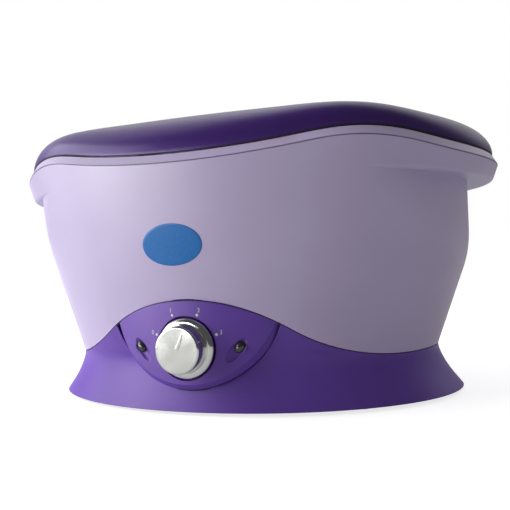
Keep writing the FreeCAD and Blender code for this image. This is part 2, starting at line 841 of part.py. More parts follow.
def build_tank():
    """Aluminium tank that hangs from its flange between two silicone seals."""
    wall = size("tank_wall")
    floor = size("tank_floor")
    top = flange_top()
    mouth = (size("mouth_half_length"), size("mouth_half_depth"))
    foot = (size("tank_half_length"), size("tank_half_depth"))
    outer = oval_loft("tank_outside", [(*foot, floor), (*mouth, top)], ruled=True)
    outer = rounded("tank_outside_round", outer, lies_at(floor), size("tank_corner"))
    inner = oval_loft("tank_inside", [(foot[0] - wall, foot[1] - wall, floor + wall),
                                      (mouth[0] - wall, mouth[1] - wall, top + 0.5)], ruled=True)
    inner = rounded("tank_inside_round", inner, lies_at(floor + wall), size("tank_corner") - wall)
    flange = oval_prism("tank_flange", mouth[0] + 14, mouth[1] + 13, top - size("flange_thick"), top)
    node("wax_tank", cut("tank_hollow", join("tank_flanged", outer, flange), inner))
    ledge_top = size("ledge_height") + size("ledge_thick")
    seal = size("seal_thick")
    node("flange_gasket", oval_ring("gasket", mouth[0] + 7, mouth[1] + 7, 5, ledge_top, ledge_top + seal))
    node("rim_seal", oval_ring("seal", mouth[0] + 3.9, mouth[1] + 3.4, 2.2, top, top + seal))


def oval_ring(name, half_length, half_depth, width, bottom, top):
    """A flat oval washer, given its inner half widths."""
    outer = oval_prism(f"{name}_outside", half_length + width, half_depth + width, bottom, top)
    inner = oval_prism(f"{name}_inside", half_length, half_depth, bottom - 1, top + 1)
    return cut(f"{name}_ring", outer, inner)


def build_grate():
    """Slotted plate on four short feet that keeps hands off the hot tank floor."""
    floor = size("tank_floor") + size("tank_wall") + 0.3
    half_length = size("tank_half_length") - 9
    half_depth = size("tank_half_depth") - 9
    plate = oval_prism("grate_plate", half_length, half_depth, floor + 4, floor + 6.5)
    slots = []
    pitch_x, pitch_y = 33.0, 13.0
    slot_length, slot_width = 24.0, 6.5
    for row in range(-6, 7):
        for column in range(-3, 4):
            x, y = column * pitch_x, row * pitch_y
            far_x = (abs(x) + slot_length / 2) / (half_length.number - 6)
            far_y = (abs(y) + slot_width / 2) / (half_depth.number - 6)
            if far_x ** 2 + far_y ** 2 < 1:
                slots.append(centred_box("grate_slot", slot_length, slot_width, 10, (x, y, floor + 2)))
    feet = [cylinder("grate_foot", 4, 4.5, (x, y, floor)) for x, y in corners(82.5, 19.5)]
    slotted = cut("grate_slotted", plate, group("grate_slots", *slots))
    node("tank_grate", join("grate_footed", slotted, *feet))


def build_heater():
    """Heater film, felt and clamp plate under the tank, on four studs, with a thermostat in the middle."""
    top = size("tank_floor")
    studs = corners(78.0, 34.0)
    layers = (
        ("heater_film", 108.0, 72.0, 1.0),
        ("insulation_pad", 112.0, 76.0, 8.0),
        ("clamp_plate", 113.0, 77.0, 1.2),
    )
    level = top
    for name, half_length, half_depth, thick in layers:
        plate = oval_prism(f"{name}_blank", half_length, half_depth, level - thick, level)
        middle = 7.3 if name == "clamp_plate" else 8.6
        holes = [cylinder(f"{name}_hole", 2.2, thick + 2, (x, y, level - thick - 1)) for x, y in studs]
        holes.append(cylinder(f"{name}_window", middle, thick + 2, (0, 0, level - thick - 1)))
        node(name, cut(f"{name}_cut", plate, group(f"{name}_holes", *holes)))
        level = level - thick
    stud_length = 15.5
    pins = [cylinder("stud", 2.0, stud_length, (x, y, top - stud_length)) for x, y in studs]
    node("clamp_studs", group("studs", *pins))
    nut_height = 3.0
    nuts = []
    for x, y in studs:
        nut = hexagon("stud_nut", 4.0, nut_height, (x, y, level - nut_height))
        tap = cylinder("stud_nut_bore", 2.05, nut_height + 2, (x, y, level - nut_height - 1))
        nuts.append(cut("stud_nut_bored", nut, tap))
    node("clamp_nuts", group("nuts", *nuts))
    shoulder = 8.2
    thermostat = turned_body("thermostat_body", [
        (0, 0), (7, 0), (7, 11.2), (shoulder, 11.2), (shoulder, 19.1), (shoulder - 1, 20.1), (0, 20.1),
    ], (0, 0, level - 10))
    tags = [centred_box("thermostat_tag", 1, 5, 9, (x, 0, level - 18)) for x in (-3.5, 3.5)]
    node("thermostat", join("thermostat_tagged", thermostat, *tags))
    fuse_x = -50.0
    fuse_z = level - 3.5
    node("thermal_fuse", cylinder("fuse_can", 2.4, 13, (fuse_x - 6.5, 0, fuse_z), TO_RIGHT))
    strap = centred_box("strap_block", 8, 12, 6.2, (fuse_x, 0, level - 6.2))
    strap_bore = cylinder("strap_bore", 2.5, 20, (fuse_x - 10, 0, fuse_z), TO_RIGHT)
    node("fuse_clip", cut("fuse_strap", strap, strap_bore))


# Control panel

LAMP_SLANT = 48.0


def panel_y(x):
    """Front of the bowed panel at x."""
    bow = number(size("panel_bow"))
    return -number(size("panel_front")) + bow - math.sqrt(bow ** 2 - x ** 2)


def lamp_shape(name, side, long_radius, short_radius, depth, sink, slide=0.0):
    """A slanted almond on the panel face, at one lamp's place or slid from it towards the knob's foot."""
    slant = math.radians(LAMP_SLANT)
    x = side * (number(size("lamp_x")) - slide * math.cos(slant))
    z = number(size("lamp_height")) - slide * math.sin(slant)
    facing = Rotation(Vector(0, 0, 1), math.degrees(math.asin(x / number(size("panel_bow")))))
    tilt = Rotation(Vector(0, 0, 1), side * LAMP_SLANT)
    obj = doc.addObject("Part::Ellipsoid", name)
    bind(obj, "Radius1", depth)
    bind(obj, "Radius2", long_radius)
    bind(obj, "Radius3", short_radius)
    obj.Placement = Placement(Vector(x, panel_y(x) + sink, z), facing.multiply(TO_FRONT).multiply(tilt))
    return obj


def build_panel():
    """Eye-shaped purple insert with a sunk seat for the knob and two slanted lamp scoops."""
    front = size("panel_front")
    bow = size("panel_bow")
    thick = size("panel_thick")
    back = size("panel_back")
    axis = bow - front
    block = common("panel_block", front_prism("panel_eye", eye_points(0), PAST_FRONT, back),
                   cylinder("panel_bow_face", bow, 120, (0, axis, 0)),
                   wave_block("panel_seam", seam_arcs(), SEAM_HALF_WIDTH))
    doc.recompute()
    bevel = doc.addObject("Part::Chamfer", "panel_bevelled")
    bevel.Base = block
    low = number(size("panel_bottom")) + 1
    width = number(size("panel_bevel"))
    for i, edge in enumerate(block.Shape.Edges, 1):
        if edge.BoundBox.ZMin < low and edge.BoundBox.YMax < -number(back) - 8:
            bevel.Edges = [*bevel.Edges, (i, width, width)]
    inner_eye = front_prism("panel_inner_eye", eye_points(-thick), PAST_FRONT, back - 5)
    hollow = common("panel_hollow", inner_eye,
                    cylinder("panel_inner_face", bow - thick, 120, (0, axis, 0)),
                    wave_block("panel_inner_seam", seam_arcs(), SEAM_HALF_WIDTH, -thick))
    knob = size("knob_height")
    seat = front - size("seat_depth")
    seat_radius = size("knob_radius") + size("seat_gap")
    backing = cylinder("knob_backing", seat_radius + 2.5, 40, (0, size("seat_thick") - seat, knob), TO_FRONT)
    cup = common("knob_cup", backing, cylinder("knob_cup_bow", bow - 1, 120, (0, axis, 0)))
    lamp_x = size("lamp_x")
    lamp_z = size("lamp_height")
    lamp_face = panel_y(number(lamp_x))
    ears = []
    posts = []
    cuts = [cylinder("knob_seat", seat_radius, 30, (0, -seat, knob), TO_FRONT),
            cylinder("bush_hole", size("bush_radius") + 0.2, 60, (0, -90, knob), TO_FRONT)]
    for side in (1, -1):
        ear_x = side * size("ear_x")
        ear_z = size("ear_height")
        ears.append(centred_box("panel_ear", 24, 2.5, 10, (ear_x - side * 6, -back - 1.25, ear_z - 5)))
        cuts.append(cylinder("ear_hole", 1.7, 12, (ear_x, -96, ear_z), TO_FRONT))
        posts.append(cylinder("lamp_post", 4.6, 14, (side * lamp_x, lamp_face + 14.5, lamp_z), TO_FRONT))
        cuts.append(lamp_shape("lamp_scoop", side, 9.8, 3.7, 2.2, -0.4, 2.6))
        cuts.append(lamp_shape("lens_hole", side, 4.3, 3.1, 2.7, 1.5))
        lamp_back = (side * lamp_x, -104, lamp_z)
        cuts.append(cylinder("lamp_bore", size("lamp_radius") + 0.15, 20, lamp_back, TO_FRONT))
    ear_trim = common("panel_ears", join("ear_pair", *ears), slab("ear_slab", 30, 60))
    moulding = join("panel_moulding", cut("panel_shell", bevel, hollow), cup, ear_trim, *posts)
    node("control_panel", cut("panel_bored", moulding, join("panel_cuts", *cuts)))
    radius = size("lamp_radius")
    screws = []
    for side, name in ((-1, "left"), (1, "right")):
        lens = lamp_shape(f"lens_dome_{name}", side, 4.15, 2.95, 2.55, 1.5)
        stem_at = (side * lamp_x, lamp_face + 7, lamp_z)
        stem = cylinder(f"lens_stem_{name}", radius, 5, stem_at, TO_FRONT)
        node(f"lamp_lens_{name}", join(f"lens_{name}", lens, stem))
        bulb_at = (side * lamp_x, lamp_face + 16.2, lamp_z)
        bulb = cylinder(f"lamp_{name}_bulb", radius, size("lamp_length"), bulb_at, TO_FRONT)
        node(f"indicator_lamp_{name}", bulb)
        ear_at = (side * size("ear_x"), -back, size("ear_height"))
        screws.append(screw("panel_screw", 3.0, 2.0, 1.3, 6.2, ear_at, TO_FRONT))
    node("panel_screws", group("panel_screw_pair", *screws))


def screw(name, head_radius, head_height, radius, length, at, turn=UPRIGHT):
    """A pan-head screw whose head ends at the place given and whose shank runs on along its axis."""
    return turned_body(name, [
        (0, -head_height), (head_radius, -head_height), (head_radius, 0),
        (radius, 0), (radius, length), (0, length),
    ], at, turn)


def build_knob():
    """Chrome knob: flared skirt, straight grip and a flat face with a raised pointer, on the switch shaft."""
    skirt = size("knob_radius")
    grip = size("grip_radius")
    length = size("knob_length")
    knob = size("knob_height")
    foot = size("panel_front") - size("knob_sink")
    shaft = size("shaft_radius")
    hub = 5.6
    socket = shaft + 0.05
    body = turned_body("knob_body", [
        (skirt - 1.2, 0), (skirt, 0), (skirt, 1.6, -0.9), (skirt - 3.4, 4.6), (grip + 0.9, 4.6),
        (grip + 0.5, 5.4), (grip, length - 1.2, -0.35), (grip - 1.2, length), (0, length),
        (0, length - 2.4), (socket, length - 2.4), (socket, 3.6), (hub, 3.6), (hub, length - 1.8),
        (grip - 2.2, length - 1.8), (grip - 1.6, 3.8), (skirt - 2.4, 2.6),
    ], (0, -foot, knob), TO_FRONT)
    angle = math.radians(22.5)
    along = (math.sin(angle), math.cos(angle))
    across = (along[1], -along[0])

    def spot(out, aside):
        return (out * along[0] + aside * across[0], knob + out * along[1] + aside * across[1])

    face = foot + length
    wedge = [spot(1.0, -1.1), spot(1.0, 1.1), spot(10.4, 0.5), spot(10.4, -0.5)]
    ridge = front_prism("pointer", wedge, face + 0.5, face - 0.5)
    node("knob", join("knob_pointed", body, ridge))
    shaft_back = 106.0
    rod = cylinder("shaft_rod", shaft, face - 3.2 - shaft_back, (0, -shaft_back, knob), TO_FRONT)
    flat = box("shaft_flat", 8, 9, 4, (-4, -face, knob + shaft - 0.8))
    node("switch_shaft", cut("shaft_flatted", rod, flat))


def build_switch():
    """Four-place rotary switch behind the panel, held by a nut under the knob."""
    knob = size("knob_height")
    seat = size("panel_front") - size("seat_depth")
    washer_thick = 1.0
    face = seat - size("seat_thick") - washer_thick
    bush = size("bush_radius")
    case = box("switch_case", 32, 18, 30, (-16, -face, knob - 15))
    case = rounded("switch_case_round", case, lambda e: e.BoundBox.YLength > 17, 2.0)
    neck = cylinder("switch_bush", bush, 8, (0, -(face - 0.2), knob), TO_FRONT)
    bore = cylinder("switch_bore", size("shaft_radius") + 0.3, 60, (0, -100, knob), TO_FRONT)
    tags = [box("switch_tag", 5, 6, 0.8, (x - 2.5, -(face - 17.5), knob - 8)) for x in (-9.0, 0.0, 9.0)]
    node("rotary_switch", cut("switch_bored", join("switch_joined", case, neck, *tags), bore))
    washer = cut("washer_ring", cylinder("washer_disc", 8.5, washer_thick, (0, -face, knob), TO_FRONT),
                 cylinder("washer_bore", bush + 0.1, 3, (0, -(face - 1), knob), TO_FRONT))
    node("switch_washer", washer)
    nut = hexagon("bush_nut", 8.0, 2.1, (0, -seat, knob), TO_FRONT)
    tap = cylinder("bush_nut_bore", bush + 0.05, 6, (0, -(seat - 2), knob), TO_FRONT)
    node("switch_nut", cut("bush_nut_bored", nut, tap))


# Fittings under and behind


def build_fittings():
    floor_bottom = size("floor_height")
    floor_top = floor_bottom + size("floor_thick")
    foot = size("foot_radius")
    feet = []
    for x, y in corners(size("foot_x"), size("foot_y")):
        feet.append(turned_body("foot", [
            (0, 0), (foot - 1.5, 0), (foot, 1.5), (foot - 0.6, floor_bottom), (2.9, floor_bottom),
            (2.9, floor_top + 0.1), (3.7, floor_top + 0.4), (2.2, floor_top + 3), (0, floor_top + 3),
        ], (x, y, 0)))
    node("rubber_feet", group("feet", *feet))
    seat = size("head_seat")
    case_screws = [screw("case_screw", 4.0, 2.6, size("screw_radius"), 39, (x, y, seat))
                   for x, y in corners(size("post_x"), size("post_y"))]
    node("case_screws", group("case_screw_set", *case_screws))
    deck = [screw("deck_screw", 2.9, 2.0, 1.5, 12.0, (x, y, size("ledge_height")))
            for x, y in corners(size("deck_screw_x"), size("deck_screw_y"))]
    node("deck_screws", group("deck_screw_set", *deck))
    height = size("gland_height")
    face = size("gland_face")
    bore = size("gland_bore")
    gland = turned_body("gland_body", [
        (bore, -16), (6.8, -16), (6.8, 0), (9.6, 0), (9.6, 1.6), (8.6, 2.6), (bore + 1, 2.6), (bore, 1.6),
    ], (0, face, height), TO_BACK)
    node("cord_gland", gland)
    ring = [(6.95, 0), (9.5, 0), (9.5, 3.5), (6.95, 3.5)]
    node("gland_nut", turned_body("gland_nut_body", ring, (0, 107.4, height), TO_BACK))
    block = box("block_case", 42, 18, 15, (-21, 62, floor_top))
    block_y = 71.0
    holes = []
    clamps = []
    for x in (-13.0, 0.0, 13.0):
        holes.append(cylinder("block_well", 3.2, 8, (x, block_y, floor_top + 9)))
        holes.append(cylinder("block_tap", 1.5, 6, (x, block_y, floor_top + 5)))
        holes.append(cylinder("block_way", 2.0, 40, (x, 50, floor_top + 5), TO_BACK))
        clamps.append(screw("block_screw", 2.9, 2.0, 1.4, 3.4, (x, block_y, floor_top + 11), UPSIDE_DOWN))
    node("terminal_block", cut("block_bored", block, join("block_holes", *holes)))
    node("terminal_screws", group("block_screw_set", *clamps))


wall = wall_form("wall_outside")
inner_wall = wall_form("wall_inside", size("skin"))
middle_wall = wall_form("wall_middle", size("skin") / 2)
build_body_shell(wall, inner_wall, middle_wall)
build_base(wall, inner_wall, middle_wall)
build_bottom_plate()
build_rim_ring()
build_lid()
build_tank()
build_grate()
build_heater()
build_panel()
build_knob()
build_switch()
build_fittings()
doc.recompute()

faulty = [o.Name for o in doc.Objects if "Invalid" in o.State or "Error" in o.State]
if faulty:
    raise SystemExit(f"objects failed: {faulty}")
for name, obj in nodes.items():
    if obj.Shape.isNull() or not obj.Shape.isValid() or not obj.Shape.Solids:
        raise SystemExit(f"{name} has no valid solid")
os.makedirs("parts", exist_ok=True)
for name, obj in nodes.items():
    obj.Shape.exportStep(f"parts/{name}.step")
    print(name, len(obj.Shape.Solids), round(obj.Shape.Volume / 1000, 2))
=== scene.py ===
import math

import bmesh
import bpy
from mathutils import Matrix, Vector
from mathutils.bvhtree import BVHTree


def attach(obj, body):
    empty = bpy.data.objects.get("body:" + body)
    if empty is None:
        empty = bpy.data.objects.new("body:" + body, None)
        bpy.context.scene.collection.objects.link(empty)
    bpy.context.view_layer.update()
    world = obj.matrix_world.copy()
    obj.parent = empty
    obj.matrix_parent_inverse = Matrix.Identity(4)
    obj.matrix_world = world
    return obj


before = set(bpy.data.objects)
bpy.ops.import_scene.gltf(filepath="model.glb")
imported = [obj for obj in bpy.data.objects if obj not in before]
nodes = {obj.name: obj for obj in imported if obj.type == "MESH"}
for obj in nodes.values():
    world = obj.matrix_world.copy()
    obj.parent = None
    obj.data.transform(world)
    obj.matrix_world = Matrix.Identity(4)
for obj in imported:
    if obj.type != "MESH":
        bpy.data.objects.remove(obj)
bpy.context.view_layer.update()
bpy.context.scene.view_settings.view_transform = "Standard"

# Places and sizes are in metres in the CAD frame: the knob is at the front, towards -Y, and +Z is up

# Camera at the photograph's viewing angle, with its lens and sensor in millimetres

CAMERA_PLACE = Vector((0.1958, -0.5217, 0.0913))
CAMERA_AIM = Vector((-0.35148, 0.93589, 0.02412))
CAMERA_ROLL = math.radians(-1.862)
CAMERA_LENS = 47.98
CAMERA_SENSOR = 36.0
CAMERA_NEAR = 0.01


def add_camera():
    data = bpy.data.cameras.new("camera")
    data.lens = CAMERA_LENS
    data.sensor_width = CAMERA_SENSOR
    data.clip_start = CAMERA_NEAR
    camera = bpy.data.objects.new("camera", data)
    bpy.context.collection.objects.link(camera)
    camera.location = CAMERA_PLACE
    camera.rotation_euler = CAMERA_AIM.to_track_quat("-Z", "Y").to_euler()
    camera.rotation_euler.rotate_axis("Z", CAMERA_ROLL)
    bpy.context.scene.camera = camera


# Studio: pale floor, bright backdrop behind the pot, dim room in front, soft lamps at the front left

WHITE = (1, 1, 1, 1)

FLOOR_HALF = 4.0
FLOOR_SHADE = 0.55
FLOOR_GLOW = 0.76
FLOOR_GLOW_REFLECTED = 0.15

ROOM_LEVEL = 0.21
ROOM_LEVEL_REFLECTED = 0.08

# The backdrop's fades: its sides by the cosine to its middle, its top and foot by the direction's height
BACKDROP_LEVEL = 0.95
BACKDROP_SIDE = Vector((-0.5, 0.87, 0.0)).normalized()
BACKDROP_SIDE_FADE = (-0.15, 0.35)
BACKDROP_TOP_FADE = (0.88, 0.985)
BACKDROP_FOOT_FADE = (0.15, 0.42)
BACKDROP_FOOT_SHARE = 0.3

POT_MIDDLE = (0, 0, 0.1)
KEY_PLACE = (-1.5, -0.62, 0.42)
KEY_SIZE = (1.6, 1.5)
KEY_WATTS = 16
WASH_WATTS = 44

PANEL_MIDDLE = (0, -0.14, 0.05)
CARD_PLACE = (-0.86, -0.97, 0.14)
CARD_SIZE = (1.1, 0.26)
CARD_WATTS = 7


def add_math(tree, operation, first, second):
    node = tree.nodes.new("ShaderNodeMath")
    node.operation = operation
    for socket, value in zip(node.inputs, (first, second)):
        if isinstance(value, (int, float)):
            socket.default_value = value
        else:
            tree.links.new(value, socket)
    return node.outputs[0]


def add_fade(tree, value, span, levels):
    """A smooth change from the first level to the second while the value crosses the span."""
    node = tree.nodes.new("ShaderNodeMapRange")
    node.interpolation_type = "SMOOTHSTEP"
    for end, place, level in zip(("Min", "Max"), span, levels):
        node.inputs["From " + end].default_value = place
        node.inputs["To " + end].default_value = level
    tree.links.new(value, node.inputs["Value"])
    return node.outputs["Result"]


def add_shader_mix(tree, factor, first, second):
    node = tree.nodes.new("ShaderNodeMixShader")
    for socket, source in zip(node.inputs, (factor, first, second)):
        tree.links.new(source, socket)
    return node.outputs[0]


def straight_rays(tree, path):
    """1 for rays that reach the camera straight or through glass."""
    return add_math(tree, "MAXIMUM", path.outputs["Is Camera Ray"], path.outputs["Is Transmission Ray"])


def add_world():
    """White where it is seen straight; the light it gives is bright behind the pot and dim elsewhere."""
    world = bpy.data.worlds.new("studio")
    bpy.context.scene.world = world
    world.use_nodes = True
    tree = world.node_tree
    direction = tree.nodes.new("ShaderNodeTexCoord").outputs["Generated"]
    facing = tree.nodes.new("ShaderNodeVectorMath")
    facing.operation = "DOT_PRODUCT"
    facing.inputs[1].default_value = BACKDROP_SIDE
    tree.links.new(direction, facing.inputs[0])
    parts = tree.nodes.new("ShaderNodeSeparateXYZ")
    tree.links.new(direction, parts.inputs[0])
    path = tree.nodes.new("ShaderNodeLightPath")

    behind = add_fade(tree, facing.outputs["Value"], BACKDROP_SIDE_FADE, (0.0, BACKDROP_LEVEL - ROOM_LEVEL))
    below_top = add_fade(tree, parts.outputs["Z"], BACKDROP_TOP_FADE, (1.0, 0.0))
    above_foot = add_fade(tree, parts.outputs["Z"], BACKDROP_FOOT_FADE, (BACKDROP_FOOT_SHARE, 1.0))
    backdrop = add_math(tree, "MULTIPLY", add_math(tree, "MULTIPLY", behind, below_top), above_foot)
    lost = add_math(tree, "MULTIPLY", path.outputs["Is Glossy Ray"], ROOM_LEVEL - ROOM_LEVEL_REFLECTED)
    ambient = add_math(tree, "SUBTRACT", ROOM_LEVEL, lost)

    room = tree.nodes["Background"]
    room.inputs["Color"].default_value = WHITE
    tree.links.new(add_math(tree, "ADD", backdrop, ambient), room.inputs["Strength"])
    white = tree.nodes.new("ShaderNodeBackground")
    white.inputs["Color"].default_value = WHITE
    both = add_shader_mix(tree, straight_rays(tree, path), room.outputs[0], white.outputs[0])
    tree.links.new(both, tree.nodes["World Output"].inputs["Surface"])


def paper_material():
    """Pale paper that takes the shadow, glows up to white where it is seen, and is clear from below."""
    material = bpy.data.materials.new("floor_paper")
    material.use_nodes = True
    tree = material.node_tree
    tree.nodes.remove(tree.nodes["Principled BSDF"])
    path = tree.nodes.new("ShaderNodeLightPath")
    paper = tree.nodes.new("ShaderNodeBsdfDiffuse")
    paper.inputs["Color"].default_value = (FLOOR_SHADE, FLOOR_SHADE, FLOOR_SHADE, 1)

    glow = tree.nodes.new("ShaderNodeEmission")
    glow.inputs["Color"].default_value = WHITE
    seen = add_math(tree, "MULTIPLY", straight_rays(tree, path), FLOOR_GLOW)
    reflected = add_math(tree, "MULTIPLY", path.outputs["Is Glossy Ray"], FLOOR_GLOW_REFLECTED)
    tree.links.new(add_math(tree, "MAXIMUM", seen, reflected), glow.inputs["Strength"])

    glowing_paper = tree.nodes.new("ShaderNodeAddShader")
    tree.links.new(paper.outputs[0], glowing_paper.inputs[0])
    tree.links.new(glow.outputs[0], glowing_paper.inputs[1])
    clear = tree.nodes.new("ShaderNodeBsdfTransparent")
    from_below = tree.nodes.new("ShaderNodeNewGeometry").outputs["Backfacing"]
    one_sided = add_shader_mix(tree, from_below, glowing_paper.outputs[0], clear.outputs[0])
    tree.links.new(one_sided, tree.nodes["Material Output"].inputs["Surface"])
    return material


def add_floor():
    mesh = bpy.data.meshes.new("floor")
    corners = [(-FLOOR_HALF, -FLOOR_HALF, 0), (FLOOR_HALF, -FLOOR_HALF, 0),
               (FLOOR_HALF, FLOOR_HALF, 0), (-FLOOR_HALF, FLOOR_HALF, 0)]
    mesh.from_pydata(corners, [], [(0, 1, 2, 3)])
    mesh.materials.append(paper_material())
    floor = bpy.data.objects.new("floor", mesh)
    bpy.context.collection.objects.link(floor)


def add_lamp(name, place, aim, size, watts, mirrored=True, lighting=True):
    """A soft lamp; without mirrored it has no reflection, and without lighting it is only reflected."""
    data = bpy.data.lights.new(name, "AREA")
    data.shape = "RECTANGLE"
    data.size, data.size_y = size
    data.energy = watts
    lamp = bpy.data.objects.new(name, data)
    bpy.context.collection.objects.link(lamp)
    lamp.location = place
    lamp.rotation_euler = (Vector(aim) - Vector(place)).to_track_quat("-Z", "Y").to_euler()
    lamp.visible_glossy = mirrored
    lamp.visible_diffuse = lighting


def add_lamps():
    """A large soft lamp, most of it kept out of reflections, and a low card for the panel's sheen."""
    add_lamp("key", KEY_PLACE, POT_MIDDLE, KEY_SIZE, KEY_WATTS)
    add_lamp("wash", KEY_PLACE, POT_MIDDLE, KEY_SIZE, WASH_WATTS, mirrored=False)
    add_lamp("card", CARD_PLACE, PANEL_MIDDLE, CARD_SIZE, CARD_WATTS, lighting=False)


# Materials: noise scales are in waves per metre, edge radii and relief depths in metres

LAVENDER = (0.6, 0.51, 0.77)
PURPLE = (0.145, 0.064, 0.42)
PURPLE_SHEEN = (0.85, 0.7, 1.0)
LID_PURPLE = (0.05, 0.013, 0.16)
LABEL_BLUE = (0.015, 0.19, 0.58)
CHROME = (0.75, 0.76, 0.725)
TANK_GREY = (0.72, 0.72, 0.73)
ZINC_BLUE = (0.50, 0.53, 0.60)
ZINC_GREY = (0.62, 0.62, 0.60)
ZINC_STRAW = (0.68, 0.64, 0.52)
FOIL_DARK = (0.60, 0.60, 0.58)
FOIL_BRIGHT = (0.78, 0.78, 0.76)
FELT_GREY = (0.50, 0.48, 0.44)
GRATE_PALE = (0.78, 0.76, 0.80)
NYLON_PALE = (0.82, 0.81, 0.77)
INK_PALE = (0.82, 0.82, 0.80)
CASE_BLACK = (0.022, 0.021, 0.023)
SEAL_BLACK = (0.045, 0.043, 0.05)
# Painted shade: the black of the strip that stands for the shadow in the gap round the panel
GAP_SHADE_BLACK = (0.02, 0.015, 0.03)
# Painted shade: the black of the band that stands for the shadow line under the lid's edge
EDGE_SHADE_BLACK = (0.014, 0.011, 0.014)
LENS_SMOKE = (0.030, 0.028, 0.022)
NEON_DEEP = (0.95, 0.55, 0.28)
NEON_PALE = (1.0, 0.72, 0.45)

NOISE_SPAN = (0.3, 0.7)
BEVEL_SAMPLES = 4


class Look:
    """A procedural material: one shader, and the textures that feed its colour, gloss and relief."""

    def __init__(self, name, **shader_values):
        self.material = bpy.data.materials.new(name)
        self.material.use_nodes = True
        self.tree = self.material.node_tree
        self.shader = self.tree.nodes["Principled BSDF"]
        self.place = self.tree.nodes.new("ShaderNodeTexCoord").outputs["Object"]
        self.normal = None
        for socket, value in shader_values.items():
            self.shader.inputs[socket.replace("_", " ")].default_value = value

    def stretched(self, scale):
        """The place in the object, scaled per axis, for grain that runs one way."""
        mapping = self.tree.nodes.new("ShaderNodeMapping")
        mapping.inputs["Scale"].default_value = scale
        self.tree.links.new(self.place, mapping.inputs["Vector"])
        return mapping.outputs["Vector"]

    def noise(self, scale, detail, stretch=None):
        node = self.tree.nodes.new("ShaderNodeTexNoise")
        node.inputs["Scale"].default_value = scale
        node.inputs["Detail"].default_value = detail
        self.tree.links.new(self.stretched(stretch) if stretch else self.place, node.inputs["Vector"])
        return node.outputs["Fac"]

    def colours(self, factor, stops):
        """Colour from stops of (position, (r, g, b))."""
        node = self.tree.nodes.new("ShaderNodeValToRGB")
        ramp = node.color_ramp
        for position, _ in stops[len(ramp.elements):]:
            ramp.elements.new(position)
        for element, (position, colour) in zip(ramp.elements, stops):
            element.position = position
            element.color = (*colour, 1)
        self.tree.links.new(factor, node.inputs["Fac"])
        self.tree.links.new(node.outputs["Color"], self.shader.inputs["Base Color"])

    def roughness(self, factor, low, high):
        node = self.tree.nodes.new("ShaderNodeMapRange")
        node.inputs["From Min"].default_value = NOISE_SPAN[0]
        node.inputs["From Max"].default_value = NOISE_SPAN[1]
        node.inputs["To Min"].default_value = low
        node.inputs["To Max"].default_value = high
        self.tree.links.new(factor, node.inputs["Value"])
        self.tree.links.new(node.outputs["Result"], self.shader.inputs["Roughness"])

    def soft_edges(self, radius):
        """Edges catch the light as if rounded by the mould."""
        node = self.tree.nodes.new("ShaderNodeBevel")
        node.samples = BEVEL_SAMPLES
        node.inputs["Radius"].default_value = radius
        self.use_normal(node.outputs["Normal"])

    def relief(self, height, strength, depth):
        """Fine bumps, on top of the soft edges where there are some."""
        node = self.tree.nodes.new("ShaderNodeBump")
        node.inputs["Strength"].default_value = strength
        node.inputs["Distance"].default_value = depth
        self.tree.links.new(height, node.inputs["Height"])
        if self.normal is not None:
            self.tree.links.new(self.normal, node.inputs["Normal"])
        self.use_normal(node.outputs["Normal"])

    def use_normal(self, normal):
        self.normal = normal
        self.tree.links.new(normal, self.shader.inputs["Normal"])


def shade(colour, amount):
    return tuple(channel * amount for channel in colour)


def moulded_plastic(name, colour, rough, grain=0.12, coat=0.0, sheen_tint=(1, 1, 1)):
    """Injection-moulded plastic: faint flow clouds in the colour, uneven gloss and a fine eroded grain."""
    look = Look(name, Specular_Tint=(*sheen_tint, 1), Coat_Weight=coat, Coat_Roughness=0.35)
    clouds = look.noise(scale=14.0, detail=3.0, stretch=(1, 1, 1.8))
    look.colours(clouds, [(0.3, shade(colour, 0.965)), (0.5, colour), (0.72, shade(colour, 1.03))])
    look.roughness(look.noise(scale=320.0, detail=3.0), low=rough - 0.02, high=rough + 0.02)
    look.soft_edges(radius=0.0006)
    look.relief(look.noise(scale=2400.0, detail=2.0), strength=grain, depth=0.00006)
    return look.material


def pearl_lacquer(name, colour):
    """Deep pearl plastic under clear lacquer, with the slight waviness of a large moulded dome."""
    look = Look(name, Metallic=0.2, Specular_IOR_Level=0.15,
                Coat_Weight=0.6, Coat_IOR=1.65, Coat_Roughness=0.27)
    clouds = look.noise(scale=9.0, detail=3.0, stretch=(1, 1, 2.2))
    look.colours(clouds, [(0.25, shade(colour, 0.92)), (0.5, colour), (0.75, shade(colour, 1.08))])
    look.roughness(look.noise(scale=160.0, detail=6.0), low=0.44, high=0.5)
    look.soft_edges(radius=0.0008)
    look.relief(look.noise(scale=26.0, detail=2.0), strength=0.04, depth=0.0006)
    return look.material


def drawn_metal(name, colour, rough, stretch):
    """Sheet metal with fine drawing streaks and a soft uneven sheen."""
    look = Look(name, Metallic=1.0)
    streaks = look.noise(scale=420.0, detail=3.0, stretch=stretch)
    look.colours(streaks, [(0.3, shade(colour, 0.88)), (0.55, colour), (0.75, shade(colour, 1.06))])
    look.roughness(look.noise(scale=35.0, detail=4.0), low=rough - 0.05, high=rough + 0.07)
    look.soft_edges(radius=0.0004)
    look.relief(streaks, strength=0.18, depth=0.00004)
    return look.material


def satin_chrome(name, colour):
    """Plated knob: bright ground metal with hairline marks and a trace of handling haze."""
    look = Look(name, Metallic=1.0)
    haze = look.noise(scale=120.0, detail=4.0)
    look.colours(haze, [(0.35, shade(colour, 0.94)), (0.6, colour), (0.8, shade(colour, 1.03))])
    look.roughness(haze, low=0.1, high=0.17)
    look.soft_edges(radius=0.0005)
    hairlines = look.noise(scale=1500.0, detail=2.0, stretch=(1, 1, 0.08))
    look.relief(hairlines, strength=0.035, depth=0.00003)
    return look.material


